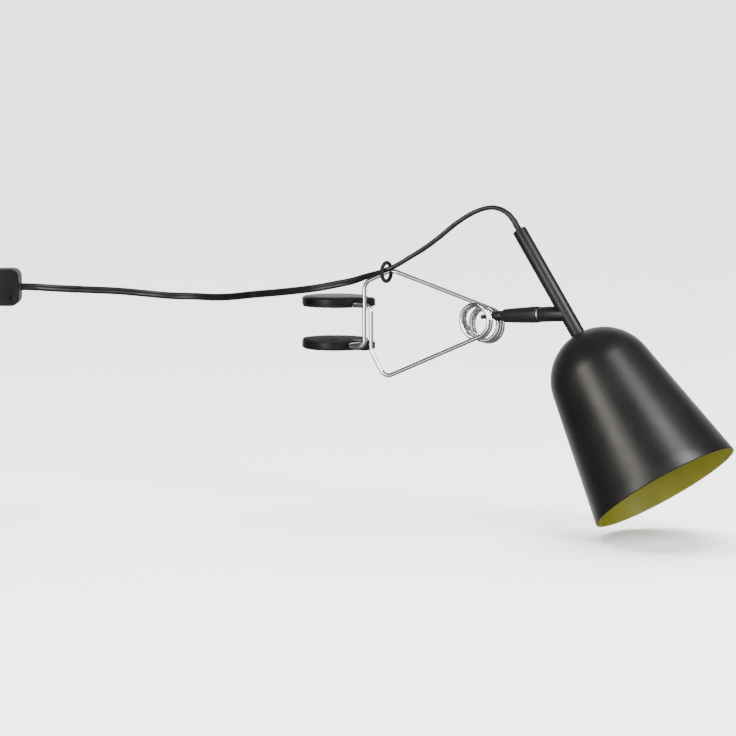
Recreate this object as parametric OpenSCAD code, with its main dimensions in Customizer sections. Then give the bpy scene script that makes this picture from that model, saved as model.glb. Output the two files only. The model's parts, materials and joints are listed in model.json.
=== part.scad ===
// Clip-on reading lamp: sprung wire clamp with two round pads, friction swivel head, flat mains cord.
// Origin at the centre of the upper pad's gripping face, +X towards the grip, +Z up, millimetres.

/* [Clamp] */
// Distance between the two gripping faces at rest
jaw_gap = 23.5; // [21:0.5:25]
// Diameter of the chromed spring wire
wire_d = 3; // [2.6:0.1:3.2]
// Mean radius of the spring coil
coil_r = 11.7; // [11:0.1:12.4]
// Diameter of each round pad
pad_d = 48; // [44:1:50]
// Thickness of the moulded part of each pad
pad_shell_t = 6; // [5.5:0.25:6.5]
// Thickness of the soft facing on each pad
pad_liner_t = 1.5; // [1:0.25:2]

/* [Grip and swivel] */
// Diameter of the grip at the swivel seam
grip_d = 11.4; // [11:0.2:12]
// Diameter of the grip at its rounded end
grip_end_d = 9.6; // [9:0.2:10.4]
// Length of the grip
grip_l = 29.3; // [27:0.1:29.4]
// Diameter of the cross arm
arm_d = 10.5; // [10.2:0.1:11]

/* [Stem and shade] */
// Outside diameter of the stem tube
stem_d = 10; // [9.6:0.2:10]
// Length of stem standing above the cross arm
stem_above = 66.3; // [62:0.5:68]
// Outside diameter of the shade at its opening
shade_d = 105; // [98:1:108]
// Overall length of the shade
shade_l = 120.7; // [118:0.5:126]
// Outside radius of the shade's round top
dome_r = 36.2; // [34:0.2:37]
// Thickness of the shade's sheet
shade_t = 1.2; // [1:0.1:1.4]

/* [Mains cord] */
// Width of the flat twin cord
cord_w = 5.2; // [5:0.1:5.4]
// Thickness of the flat twin cord
cord_t = 3.2; // [3:0.1:3.4]
// Mean radius of the spare cord's coil
spare_r = 30; // [29:0.5:32]

/* [Hidden] */
eps = 0.01;

// running clearance on a radius and the small gap kept where a cord meets a housing
fit_r = 0.05;
cord_gap = 0.3;

// pads
pad_t = pad_shell_t + pad_liner_t;
pin_x = 26;
pin_end_y = 7;
pin_up_z = 2.4;
pin_low_z = -jaw_gap - pin_up_z;
lug_x = 31.5;
lug_half_y = 5;
pad_r = pad_d / 2;

// spring coil: axis along Y, its turns lean a little down towards the far end and
// part into two groups, far and near, that leave room for the grip's bolt between them
coil_c = [124, 0, -6.2];
coil_far_y = 11.2;
coil_pitch = 3.1;
coil_parting = 6.24;
parting_from = 900;
parting_over = 100;
coil_lean = 0.22;
coil_turns = 4.38;
coil_start_a = 68;
coil_step_a = 15;
coil_near_y = coil_far_y - coil_pitch * coil_turns - coil_parting;

// wire planes: the upper wire passes in front of the lower one where they cross
upper_y = -20;
lower_y = -16;

// grip, swivel and stem directions
grip_rise = 4.5;
seam = [172.5, 0, 1.975];
arm_reach = 21;
stem_lean = 34.5;
washer_t = 0.8;
stem_bore = 8;
stem_below = 28;
apex_z = 16.7;

// cord layout: the supporting board's edge runs at this angle to the clamp
board_a = 35;

grip_dir = [cos(grip_rise), 0, sin(grip_rise)];
stem_dir = [sin(stem_lean), 0, -cos(stem_lean)];
tee_a = acos(grip_dir * stem_dir);
tee = seam + arm_reach * grip_dir;
stem_top = tee - stem_above * stem_dir;

// colours
black = [0.05, 0.05, 0.055];
soft_black = [0.09, 0.09, 0.09];
chrome = [0.8, 0.8, 0.82];
brass = [0.75, 0.6, 0.3];
white = [0.92, 0.92, 0.9];
opal = [0.97, 0.96, 0.9];
steel = [0.6, 0.61, 0.63];

// ---- vectors and curves ----

function unit(v) = v / norm(v);

function spline_at(a, b, c, d, t) =
    0.5 * ((2 * b) + (c - a) * t + (2 * a - 5 * b + 4 * c - d) * t * t
    + (3 * b - a - 3 * c + d) * t * t * t);

// smooth curve through hand-chosen points, each span cut into n steps
function spline(p, n) = [
    for (i = [0 : len(p) - 2])
        for (k = [0 : n - 1])
            spline_at(p[max(i - 1, 0)], p[i], p[i + 1], p[min(i + 2, len(p) - 1)], k / n),
    p[len(p) - 1]];

function heading(p, i) = unit(p[min(i + 1, len(p) - 1)] - p[max(i - 1, 0)]);

function side_of(t, up) = unit(cross(t, up));

function ring_points(at, t, up, section) =
    let (s = side_of(t, up), u = cross(s, t))
    [for (q = section) at + s * q[0] + u * q[1]];

// section of the flat twin cord: a rectangle with broken corners
function flat_section(w, t, c) = [
    [w / 2, -t / 2 + c], [w / 2, t / 2 - c], [w / 2 - c, t / 2], [-w / 2 + c, t / 2],
    [-w / 2, t / 2 - c], [-w / 2, -t / 2 + c], [-w / 2 + c, -t / 2], [w / 2 - c, -t / 2]];

function round_section(d, n) = [for (i = [0 : n - 1]) d / 2 * [cos(360 * i / n), sin(360 * i / n)]];

// closed solid swept along a list of points
module swept(p, section, up) {
    n = len(section);
    last = len(p) - 1;
    points = [for (i = [0 : last]) each ring_points(p[i], heading(p, i), up, section)];
    ends = [[for (k = [0 : n - 1]) k], [for (k = [n - 1 : -1 : 0]) last * n + k]];
    walls = [for (i = [0 : last - 1]) for (k = [0 : n - 1]) for (half = [0, 1])
        let (a = i * n + k, b = i * n + (k + 1) % n)
        half == 0 ? [a, a + n, b] : [b, a + n, b + n]];
    polyhedron(points, concat(ends, walls), 10);
}

// ---- placing ----

module aim(at, dir) {
    translate(at)
        rotate([0, acos(unit(dir)[2]), atan2(dir[1], dir[0])])
            children();
}

module on_grip() {
    aim(seam, grip_dir) children();
}

module on_stem() {
    aim(tee, stem_dir) children();
}

module on_board() {
    rotate([0, 0, board_a]) children();
}

// ---- round wire with true bends ----

module straight(a, b, d) {
    aim(a, b - a) cylinder(h = norm(b - a), d = d, $fn = 24);
}

function turn_angle(a, b, c) = acos(unit(b - a) * unit(c - b));

function trim_at(p, r, i) =
    (i == 0 || i == len(p) - 1) ? 0 : r[i] * tan(turn_angle(p[i - 1], p[i], p[i + 1]) / 2);

// one bend of radius r at corner b between the legs a-b and b-c
module bend(a, b, c, r, d) {
    u = unit(b - a);
    v = unit(c - b);
    n = unit(cross(u, v));
    m = cross(n, u);
    phi = turn_angle(a, b, c);
    start = b - u * r * tan(phi / 2);
    centre = start + m * r;
    multmatrix([
        [-m[0], u[0], n[0], centre[0]],
        [-m[1], u[1], n[1], centre[1]],
        [-m[2], u[2], n[2], centre[2]],
        [0, 0, 0, 1]])
        rotate_extrude(angle = phi, $fn = 64) translate([r, 0]) circle(d = d, $fn = 24);
}

module bent_wire(p, r, d) {
    last = len(p) - 1;
    for (i = [0 : last - 1]) {
        u = unit(p[i + 1] - p[i]);
        a = p[i] + u * trim_at(p, r, i);
        b = p[i + 1] - u * trim_at(p, r, i + 1);
        straight(a, b, d);
        if (i > 0) translate(a) sphere(d = d + 2 * eps, $fn = 24);
        if (i < last - 1) translate(b) sphere(d = d + 2 * eps, $fn = 24);
    }
    for (i = [1 : last - 1]) bend(p[i - 1], p[i], p[i + 1], r[i], d);
}

// ---- spring wire clamp ----

function coil_point(a, y) = coil_c + [coil_r * cos(a), y, coil_r * sin(a) - coil_lean * y];

// place along the axis after winding through an angle a from the far end
function coil_y(a) =
    let (q = min(max((a - parting_from) / parting_over, 0), 1))
    coil_far_y - coil_pitch * a / 360 - coil_parting * q * q * (3 - 2 * q);

module upper_arm() {
    color(chrome)
        bent_wire([
            coil_point(coil_start_a, coil_far_y),
            [63, upper_y, 29.3],
            [39.5, upper_y, 19.5],
            [39.5, upper_y, pin_low_z],
            [pin_x, upper_y, pin_low_z],
            [pin_x, pin_end_y, pin_low_z]],
            [0, 10, 8, 4, 4, 0], wire_d);
}

module spring_coil() {
    sweep_a = 360 * coil_turns;
    steps = ceil(sweep_a / coil_step_a);
    path = [for (i = [0 : steps])
        let (a = sweep_a * i / steps)
        coil_point(coil_start_a - a, coil_y(a))];
    color(chrome)
        swept(path, round_section(wire_d, 8), [0, 1, 0]);
}

// the lower wire starts beside the coil's near end, one wire further out
module lower_arm() {
    start_y = coil_near_y - wire_d - 0.7;
    start_z = -coil_lean * coil_near_y;
    start_a = -66.8;
    lead_a = 24;
    start = coil_c + [coil_r * cos(start_a), start_y, coil_r * sin(start_a) + start_z];
    color(chrome) {
        bent_wire([
            start,
            [54.4, lower_y, -47.4],
            [42.5, lower_y, -29],
            [42.5, lower_y, pin_up_z],
            [pin_x, lower_y, pin_up_z],
            [pin_x, pin_end_y, pin_up_z]],
            [0, 7, 12, 4, 4, 0], wire_d);
        translate(start) sphere(d = wire_d + 4 * eps, $fn = 24);
        translate(coil_c + [0, start_y, start_z])
            rotate([90, 0, 0])
                rotate([0, 0, start_a])
                    rotate_extrude(angle = lead_a, $fn = 96)
                        translate([coil_r, 0])
                            circle(d = wire_d, $fn = 24);
    }
}

// ---- pads ----

// moulded disc with a pivot lug on the coil side, gripping face at z = 0
module pad_shape() {
    difference() {
        union() {
            translate([0, 0, pad_liner_t])
                rotate_extrude($fn = 96)
                    polygon([[0, 0], [pad_r, 0], [pad_r, pad_shell_t - 1.5],
                        [pad_r - 1.5, pad_shell_t - 0.4], [pad_r - 8, pad_shell_t], [0, pad_shell_t]]);
            translate([pad_r - 10, -lug_half_y, 0.4])
                cube([lug_x - pad_r + 10 - 1.5, 2 * lug_half_y, pad_t - 0.8]);
            translate([lug_x - 1.5 - eps, -lug_half_y, pad_t / 2])
                rotate([-90, 0, 0])
                    cylinder(h = 2 * lug_half_y, r = 1.5, $fn = 32);
            translate([lug_x - 3, -lug_half_y, 1.2])
                cube([3, 2 * lug_half_y, pad_t - 2.4]);
        }
        translate([pin_x, -lug_half_y - 12, pin_up_z])
            rotate([-90, 0, 0])
                cylinder(h = 2 * lug_half_y + 24, r = wire_d / 2 + fit_r, $fn = 32);
    }
}

module facing_shape() {
    difference() {
        cylinder(h = pad_liner_t, r = pad_r - 0.6, $fn = 96);
        translate([pad_r - 10.5, -lug_half_y - 0.4, -eps])
            cube([20, 2 * lug_half_y + 0.8, pad_liner_t + 2 * eps]);
        for (x = [-15 : 6 : 9])
            translate([x - 0.6, -30, -eps]) cube([1.2, 60, 0.5]);
    }
}

module upper_pad() {
    color(black) pad_shape();
}

module upper_pad_facing() {
    color(soft_black) facing_shape();
}

module lower_pad() {
    color(black)
        translate([0, 0, -jaw_gap]) mirror([0, 0, 1]) pad_shape();
}

module lower_pad_facing() {
    color(soft_black)
        translate([0, 0, -jaw_gap]) mirror([0, 0, 1]) facing_shape();
}

// push-on cap that stops the wire end slipping out of its pad
module pin_cap() {
    rotate([-90, 0, 0])
        difference() {
            cylinder(h = 2.4, r = 2.3, $fn = 32);
            translate([0, 0, -eps]) cylinder(h = 1.6 + eps, d = wire_d, $fn = 32);
        }
}

module pin_cap_upper() {
    color(soft_black) translate([pin_x, pin_end_y - 1.6, pin_up_z]) pin_cap();
}

module pin_cap_lower() {
    color(soft_black) translate([pin_x, pin_end_y - 1.6, pin_low_z]) pin_cap();
}

// ---- cord ring on the upper wire ----

ring_at = [60.8, upper_y - 3.3, 28];
ring_section = 2.8;
ring_mean_r = 6.5;
ring_turn = 4;

module cord_ring() {
    color(soft_black)
        translate(ring_at)
            rotate([0, 90, ring_turn])
                rotate_extrude($fn = 64)
                    translate([ring_mean_r, 0]) circle(d = ring_section, $fn = 20);
}

// ---- T-shaped bolt and shoe that tie the grip to the coil ----

bolt_d = 4;
bolt_end = -10.5;
bar_d = 3;
bar_half = 6.5;
bar_z = -43;
shoe_z = -37.5;
shoe_d = 7;

// the bar lies inside the coil, the rod passes between the two groups of turns
module coil_bolt() {
    color(black)
        on_grip() {
            translate([0, 0, bar_z - bar_d / 2])
                cylinder(h = bolt_end - bar_z + bar_d / 2, d = bolt_d, $fn = 32);
            translate([0, -bar_half, bar_z])
                rotate([-90, 0, 0]) cylinder(h = 2 * bar_half, d = bar_d, $fn = 32);
        }
}

// hollowed to sit against the outside of the turns
module coil_shoe() {
    shoe_h = -washer_t - grip_l - shoe_z;
    color(black)
        difference() {
            on_grip()
                translate([0, 0, shoe_z])
                    difference() {
                        cylinder(h = shoe_h, d = shoe_d, $fn = 48);
                        translate([0, 0, -1]) cylinder(h = shoe_h + 2, d = bolt_d, $fn = 32);
                    }
            translate(coil_c)
                rotate([-90 - atan(coil_lean), 0, 0])
                    cylinder(h = 40, r = coil_r + wire_d / 2 + 0.15, center = true, $fn = 96);
        }
}

// ---- grip and swivel ----

pin_d = 4;
pin_in_grip = 9.4;
pin_in_arm = 7;
pin_head_d = 7;
pin_head_t = 1.8;
pin_head_z = 6.2;
washer_seat_z = 5;
end_round = 2.6;

module grip() {
    r_end = grip_end_d / 2;
    r_seam = grip_d / 2;
    z_end = -washer_t - grip_l;
    color(black)
        on_grip()
            difference() {
                rotate_extrude($fn = 64)
                    polygon([
                        [0, z_end],
                        [r_end - end_round, z_end],
                        for (a = [-75 : 15 : -15])
                            [r_end - end_round * (1 - cos(a)), z_end + end_round * (1 + sin(a))],
                        [r_end, z_end + end_round],
                        [r_seam, -washer_t - 5],
                        [r_seam, -washer_t - 0.4],
                        [r_seam - 0.4, -washer_t],
                        [0, -washer_t]]);
                translate([0, 0, bar_z]) cylinder(h = bolt_end - bar_z, d = bolt_d, $fn = 32);
                translate([0, 0, -pin_in_grip]) cylinder(h = 10, d = pin_d, $fn = 32);
            }
}

module seam_washer() {
    color(steel)
        on_grip()
            translate([0, 0, -washer_t])
                difference() {
                    cylinder(h = washer_t, d = arm_d - 0.6, $fn = 64);
                    translate([0, 0, -1]) cylinder(h = 3, d = pin_d + 0.2, $fn = 32);
                }
}

// shouldered pin: fast in the grip, free in the cross arm, headed inside it
module swivel_pin() {
    color(steel)
        on_grip() {
            translate([0, 0, -pin_in_grip]) cylinder(h = pin_in_grip + pin_in_arm, d = pin_d, $fn = 32);
            translate([0, 0, pin_head_z]) cylinder(h = pin_head_t, d = pin_head_d, $fn = 32);
        }
}

module spring_washer() {
    color(steel)
        on_grip()
            translate([0, 0, washer_seat_z])
                difference() {
                    cylinder(h = pin_head_z - washer_seat_z, d = 7.2, $fn = 32);
                    translate([0, 0, -1]) cylinder(h = 4, d = pin_d + 2 * fit_r, $fn = 32);
                }
}

module cross_arm() {
    color(black)
        on_grip()
            difference() {
                rotate_extrude($fn = 64)
                    polygon([[0, 0], [arm_d / 2 - 0.4, 0], [arm_d / 2, 0.4], [arm_d / 2, arm_reach + 3],
                        [0, arm_reach + 3]]);
                translate([0, 0, -1]) cylinder(h = 8, d = pin_d + 2 * fit_r, $fn = 32);
                translate([0, 0, washer_seat_z]) cylinder(h = 8, d = 7.6, $fn = 32);
                translate([0, 0, arm_reach])
                    rotate([0, tee_a, 0])
                        translate([0, 0, -30]) cylinder(h = 60, d = stem_d, $fn = 64);
                stem_far_side();
            }
}

// everything beyond the stem's own width is cut away from the cross arm
module stem_far_side() {
    translate([0, 0, arm_reach])
        rotate([0, tee_a, 0])
            translate([-20, -20, -30])
                cube([20, 40, 60]);
}

// ---- stem ----

module stem_tube() {
    color(black)
        on_stem()
            translate([0, 0, -stem_above])
                difference() {
                    cylinder(h = stem_above + stem_below, d = stem_d, $fn = 64);
                    translate([0, 0, -1])
                        cylinder(h = stem_above + stem_below + 2, d = stem_bore, $fn = 48);
                }
}

module cord_slot(h) {
    linear_extrude(height = h) square([cord_t + 0.2, cord_w + 0.2], center = true);
}

module stem_bush() {
    color(soft_black)
        on_stem()
            translate([0, 0, -stem_above])
                difference() {
                    union() {
                        translate([0, 0, -1]) cylinder(h = 1, d = stem_d - 0.4, $fn = 48);
                        cylinder(h = 6, d = stem_bore - 0.02, $fn = 48);
                    }
                    translate([0, 0, -2]) cord_slot(10);
                }
}

// ---- shade, measured along the stem from the top of its dome ----

module on_apex() {
    on_stem() translate([0, 0, apex_z]) children();
}

flare = 90 - atan2(shade_l - dome_r, shade_d / 2) - asin(dome_r / norm([shade_d / 2, shade_l - dome_r]));

dome_steps = 14;

// half outline of the dome and skirt for a surface set in by t
function skirt_outline(t) =
    let (r = dome_r - t)
    concat(
        [for (k = [0 : dome_steps])
            let (a = (90 - flare) * k / dome_steps)
            [r * sin(a), dome_r - r * cos(a)]],
        [[shade_d / 2 - t / cos(flare), shade_l]]);

module shade() {
    outer = skirt_outline(0);
    inner = skirt_outline(shade_t);
    color(black)
        on_apex()
            difference() {
                rotate_extrude($fn = 128)
                    polygon(concat(outer, [for (i = [len(inner) - 1 : -1 : 0]) inner[i]]));
                translate([0, 0, -5]) cylinder(h = 10, d = stem_d + 0.1, $fn = 64);
            }
}

seat_z = 2.1;

module shade_washer() {
    color(steel)
        on_apex()
            translate([0, 0, seat_z])
                difference() {
                    cylinder(h = 1.2, d = 15, $fn = 48);
                    translate([0, 0, -1]) cylinder(h = 4, d = stem_d + 0.2, $fn = 48);
                }
}

module shade_nut() {
    color(steel)
        on_apex()
            translate([0, 0, seat_z + 1.2])
                difference() {
                    cylinder(h = 3, d = 16, $fn = 6);
                    translate([0, 0, -1]) cylinder(h = 5, d = stem_d, $fn = 48);
                }
}

// ---- lampholder for a small screw cap ----

cap_z = 6.6;
body_z = 17;
holder_end = 50;
terminal_h = 4.4;
terminal_y = 4.6;
holder_r = 13.4;
thread_r = 8.2;

module holder_cap() {
    color(soft_black)
        on_apex()
            difference() {
                rotate_extrude($fn = 64)
                    polygon([[stem_d / 2, cap_z], [8, cap_z], [holder_r, cap_z + 4],
                        [holder_r, body_z], [holder_r - 1.8, body_z],
                        [holder_r - 1.8, cap_z + 5.4], [stem_d / 2, cap_z + 3.2]]);
                translate([0, 0, cap_z - 1]) cylinder(h = 4, d = stem_d, $fn = 48);
            }
}

module holder_body() {
    color(soft_black)
        on_apex()
            rotate_extrude($fn = 64)
                polygon([[0, body_z], [holder_r, body_z], [holder_r, body_z + 3],
                    [holder_r - 0.4, holder_end], [thread_r, holder_end],
                    [thread_r, body_z + 6], [0, body_z + 6]]);
}

module holder_thread() {
    color(brass)
        on_apex()
            translate([0, 0, body_z + 6])
                difference() {
                    cylinder(h = 22, r = thread_r, $fn = 64);
                    translate([0, 0, -1]) cylinder(h = 24, r = thread_r - 0.8, $fn = 64);
                }
}

// spring tongue for the tip and two terminal blocks above the insulator
module holder_contacts() {
    color(brass)
        on_apex() {
            translate([-2, -5, body_z + 6]) cube([4, 10, tongue_t]);
            for (y = [-terminal_y, terminal_y])
                translate([-3, y - 2.2, body_z - terminal_h]) cube([6, 4.4, terminal_h]);
        }
}

module terminal_screws() {
    color(steel)
        on_apex()
            for (y = [-terminal_y, terminal_y])
                translate([3, y, body_z - terminal_h / 2])
                    rotate([0, 90, 0])
                        difference() {
                            cylinder(h = 1.4, d = 3.6, $fn = 32);
                            translate([-0.3, -3, 0.7]) cube([0.6, 6, 2]);
                        }
}

// the cord's own two cores inside the stem, ending at the terminals
module inner_cord() {
    color(soft_black)
        on_stem() {
            translate([0, 0, -stem_above - 1])
                linear_extrude(height = stem_above + 1 + apex_z + body_z - 0.6)
                    square([cord_t - 0.4, cord_w - 0.4], center = true);
        }
}

// ---- screw-cap bulb ----

tongue_t = 0.8;
bulb_z = body_z + 6 + tongue_t;

module bulb_base() {
    color(steel)
        on_apex()
            translate([0, 0, bulb_z])
                rotate_extrude($fn = 64)
                    polygon([[0, 0], [2.6, 0], [3.2, 1], [5.6, 2.6], [6.9, 3.6],
                        for (i = [0 : 4]) each [[7.0, 4.6 + 3 * i], [6.5, 6.1 + 3 * i]],
                        [7.0, 19.5], [7.0, 22.5], [0, 22.5]]);
}

module bulb_collar() {
    color(white)
        on_apex()
            translate([0, 0, bulb_z + 22.5])
                rotate_extrude($fn = 64)
                    polygon([[0, 0], [7.2, 0], [7.2, 4.6], [9.6, 7], [14, 14], [18.5, 20.5], [0, 20.5]]);
}

module bulb_globe() {
    r = 21.5;
    color(opal)
        on_apex()
            translate([0, 0, bulb_z + 43])
                rotate_extrude($fn = 96)
                    polygon([[0, 0], [18.5, 0],
                        for (a = [-28 : 8 : 84]) [r * cos(a), 10.4 + r * sin(a)],
                        [0, 10.4 + r]]);
}

// ---- in-line switch standing on its narrow side ----

switch_l = 62;
switch_w = 20;
switch_h = 26.5;
switch_at = [-258, 4, switch_h / 2];
screw_x = switch_l / 2 - 4.5;
screw_z = -7.5;

module switch_half(y0, y1) {
    r = 6;
    intersection() {
        translate([-switch_l / 2, y0, -switch_h / 2]) cube([switch_l, y1 - y0, switch_h]);
        rotate([90, 0, 0])
            translate([0, 0, -switch_w / 2])
                linear_extrude(height = switch_w)
                    union() {
                        square([switch_l - 2 * r, switch_h], center = true);
                        square([switch_l, switch_h - 2 * r], center = true);
                        for (x = [-1, 1], z = [-1, 1])
                            translate([x * (switch_l / 2 - r), z * (switch_h / 2 - r)])
                                circle(r = r, $fn = 48);
                    }
    }
}

module switch_cavity() {
    translate([-switch_l / 2 + 8, -switch_w / 2 + 2, -switch_h / 2 + 3])
        cube([switch_l - 16, switch_w - 4, switch_h - 6]);
}

module switch_base() {
    color(black)
        on_board()
            translate(switch_at)
                difference() {
                    switch_half(0.05, switch_w / 2);
                    switch_cavity();
                    for (x = [-1, 1])
                        translate([x * screw_x, 0, screw_z])
                            rotate([-90, 0, 0])
                                translate([0, 0, -1]) cylinder(h = 8, d = 2, $fn = 24);
                }
}

module switch_cover() {
    color(black)
        on_board()
            translate(switch_at)
                difference() {
                    switch_half(-switch_w / 2, -0.05);
                    switch_cavity();
                    translate([-11, -switch_w / 2 - 1, -6]) cube([22, 8, 12]);
                    for (x = [-1, 1])
                        translate([x * screw_x, -switch_w / 2 - 1, screw_z])
                            rotate([-90, 0, 0]) {
                                cylinder(h = switch_w, d = 2.4, $fn = 24);
                                cylinder(h = 4, d = 4.6, $fn = 24);
                            }
                }
}

rocker_pivot_y = -switch_w / 2 + 4;
rocker_rest_a = 8;
rocker_half_h = 5.7;
rocker_pin_r = 1;

// rocker in the near side, turning on a cross pin along the switch's height, resting tipped one way
module switch_rocker() {
    color(soft_black)
        on_board()
            translate(switch_at + [0, rocker_pivot_y, 0])
                rotate([0, 0, rocker_rest_a])
                    difference() {
                        union() {
                            translate([0, 0, -rocker_half_h]) cylinder(h = 2 * rocker_half_h, r = 3, $fn = 48);
                            translate([-9.5, -4.4, -rocker_half_h]) cube([19, 4, 2 * rocker_half_h]);
                        }
                        translate([0, 0, -10]) cylinder(h = 20, r = rocker_pin_r + fit_r, $fn = 32);
                    }
}

module switch_contacts() {
    color(brass)
        on_board()
            translate(switch_at) {
                for (x = [-15, 15])
                    translate([x - 4, switch_w / 2 - 7, -5]) cube([8, 5, 10]);
                translate([0, rocker_pivot_y, -switch_h / 2 + 3])
                    cylinder(h = switch_h - 6, r = rocker_pin_r, $fn = 32);
            }
}

module switch_screws() {
    color(steel)
        on_board()
            translate(switch_at)
                for (x = [-1, 1])
                    translate([x * screw_x, -switch_w / 2 + 1.2, screw_z])
                        rotate([-90, 0, 0])
                            difference() {
                                union() {
                                    cylinder(h = 1.8, d = 4.4, $fn = 32);
                                    cylinder(h = 15, d = 2, $fn = 24);
                                }
                                for (q = [0, 90])
                                    rotate([0, 0, q]) translate([-1.5, -0.3, -0.2]) cube([3, 0.6, 1]);
                            }
}

// ---- mains cord: points are [along the board edge, back over the board, up] ----

exit_dir = -stem_dir;
exit_along = [exit_dir[0] * cos(board_a), -exit_dir[0] * sin(board_a), exit_dir[2]];
exit_at = let (p = stem_top - (1 + cord_gap) * stem_dir)
    [p[0] * cos(board_a), -p[0] * sin(board_a), p[2]];
rest_z = cord_t / 2;
flat = flat_section(cord_w, cord_t, 1.1);

module cord(p, n) {
    color(soft_black) on_board() swept(spline(p, n), flat, [0, 0, 1]);
}

module cord_main() {
    cord([
        exit_at,
        exit_at + 4 * exit_along,
        exit_at + 8 * exit_along,
        [119.4, -84.4, 70.4],
        [114, -82.6, 73.4],
        [107, -80.5, 74.2],
        [97, -77.5, 71],
        [85, -73.5, 63.4],
        [73, -69, 53.2],
        [63, -65, 45.4],
        [53, -61, 38.9],
        [42.5, -57.6, 32.4],
        [33, -53.8, 28.2],
        [23.5, -46.5, 24.8],
        [13, -39.5, 20.8],
        [0, -33.5, 17.6],
        [-14, -27.5, 14.6],
        [-29, -17, 12],
        [-44, -5, 9.6],
        [-60, 9, 7.2],
        [-76, 25, 4.4],
        [-90, 39, 2.4],
        [-104, 51, rest_z],
        [-122, 56, 2],
        [-140, 52, 4.6],
        [-160, 40, 7.4],
        [-180, 26, 9.4],
        [-200, 12, 11.4],
        [-214, 5.4, 12.8],
        [-221, 4, switch_h / 2],
        [-227 + cord_gap, 4, switch_h / 2]], 2);
}

// ---- spare length: lead to a neat coil, tail to the plug ----

spare_c = [-331, 64];
spare_half_w = 8;
spare_h = 2 * cord_t + 0.4;
turn_r = spare_r + spare_half_w - cord_w / 2 - 0.2;

module cord_lead() {
    x0 = switch_at[0] - switch_l / 2 - cord_gap;
    cord([
        [x0, 4, switch_h / 2],
        [x0 - 6, 4, 12.9],
        [x0 - 13, 4.6, 11],
        [x0 - 22, 7, 7.4],
        [x0 - 34, 11, 3.6],
        [x0 - 48, 19, 1.8],
        [x0 - 61, 30, rest_z],
        [x0 - 70.5, 42, rest_z],
        [x0 - 75.6, 54, rest_z],
        [spare_c[0] - turn_r, spare_c[1], rest_z],
        [spare_c[0] - turn_r * cos(12), spare_c[1] + turn_r * sin(12), rest_z]], 3);
}

module cord_spare_coil() {
    color(soft_black)
        on_board()
            translate([spare_c[0], spare_c[1], 0])
                rotate_extrude($fn = 96)
                    translate([spare_r - spare_half_w, 0])
                        polygon([[1, 0], [2 * spare_half_w - 1, 0], [2 * spare_half_w, 1],
                            [2 * spare_half_w, spare_h - 1], [2 * spare_half_w - 1, spare_h],
                            [1, spare_h], [0, spare_h - 1], [0, 1]]);
}

tail_a = 135;
plug_gap = 32;
plug_z = 6.9;

tail_at = [spare_c[0] + turn_r * cos(tail_a), spare_c[1] + turn_r * sin(tail_a), 0];
tail_dir = [cos(tail_a - 90), sin(tail_a - 90), 0];

module cord_tail() {
    top_z = spare_h - rest_z - 0.2;
    before = [spare_c[0] + turn_r * cos(tail_a + 12), spare_c[1] + turn_r * sin(tail_a + 12), top_z];
    cord([
        before,
        tail_at + [0, 0, top_z],
        tail_at + 8 * tail_dir + [0, 0, top_z],
        tail_at + 18 * tail_dir + [0, 0, top_z + 0.6],
        tail_at + (plug_gap - 6) * tail_dir + [0, 0, plug_z - 0.2],
        tail_at + plug_gap * tail_dir + [0, 0, plug_z]], 4);
}

// strap over the coil and down both its sides
module cord_tie() {
    inner = spare_half_w + 0.3;
    strap_t = 0.8;
    strap_half_y = 2.5;
    color(black)
        on_board()
            translate([spare_c[0] + spare_r, spare_c[1], 0])
                difference() {
                    translate([-inner - strap_t, -strap_half_y, 0])
                        cube([2 * (inner + strap_t), 2 * strap_half_y, spare_h + 0.1 + strap_t]);
                    translate([-inner, -strap_half_y - 1, -1])
                        cube([2 * inner, 2 * strap_half_y + 2, spare_h + 1.1]);
                }
}

// ---- flat two-pin plug lying on the board ----

module on_plug() {
    on_board()
        translate(tail_at + (plug_gap + cord_gap) * tail_dir + [0, 0, plug_z])
            rotate([0, 0, tail_a - 90])
                children();
}

module plug_body() {
    color(black)
        on_plug()
            difference() {
                translate([0, 0, -6.9])
                    linear_extrude(height = 13.8)
                        polygon([[0, -4], [10, -5], [18, -15], [22, -17.6], [36, -17.6],
                            [36, 17.6], [22, 17.6], [18, 15], [10, 5], [0, 4]]);
                for (y = [-9.3, 9.3])
                    translate([30, y, 0]) rotate([0, 90, 0]) cylinder(h = 10, d = 4, $fn = 32);
            }
}

module plug_pins() {
    color(brass)
        on_plug()
            for (y = [-9.3, 9.3])
                translate([30, y, 0]) rotate([0, 90, 0]) cylinder(h = 25, d = 4, $fn = 32);
}

// ---- which piece is drawn ----

upper_arm();
spring_coil();
lower_arm();
upper_pad();
upper_pad_facing();
lower_pad();
lower_pad_facing();
pin_cap_upper();
pin_cap_lower();
cord_ring();
coil_bolt();
coil_shoe();
grip();
swivel_pin();
seam_washer();
spring_washer();
cross_arm();
stem_tube();
stem_bush();
shade();
shade_washer();
shade_nut();
holder_cap();
holder_body();
holder_thread();
holder_contacts();
terminal_screws();
inner_cord();
bulb_base();
bulb_collar();
bulb_globe();
switch_base();
switch_cover();
switch_rocker();
switch_contacts();
switch_screws();
plug_body();
plug_pins();
cord_main();
cord_lead();
cord_spare_coil();
cord_tail();
cord_tie();
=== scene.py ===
import json
import math

import bmesh
import bpy
from mathutils import Matrix, Vector

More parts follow.
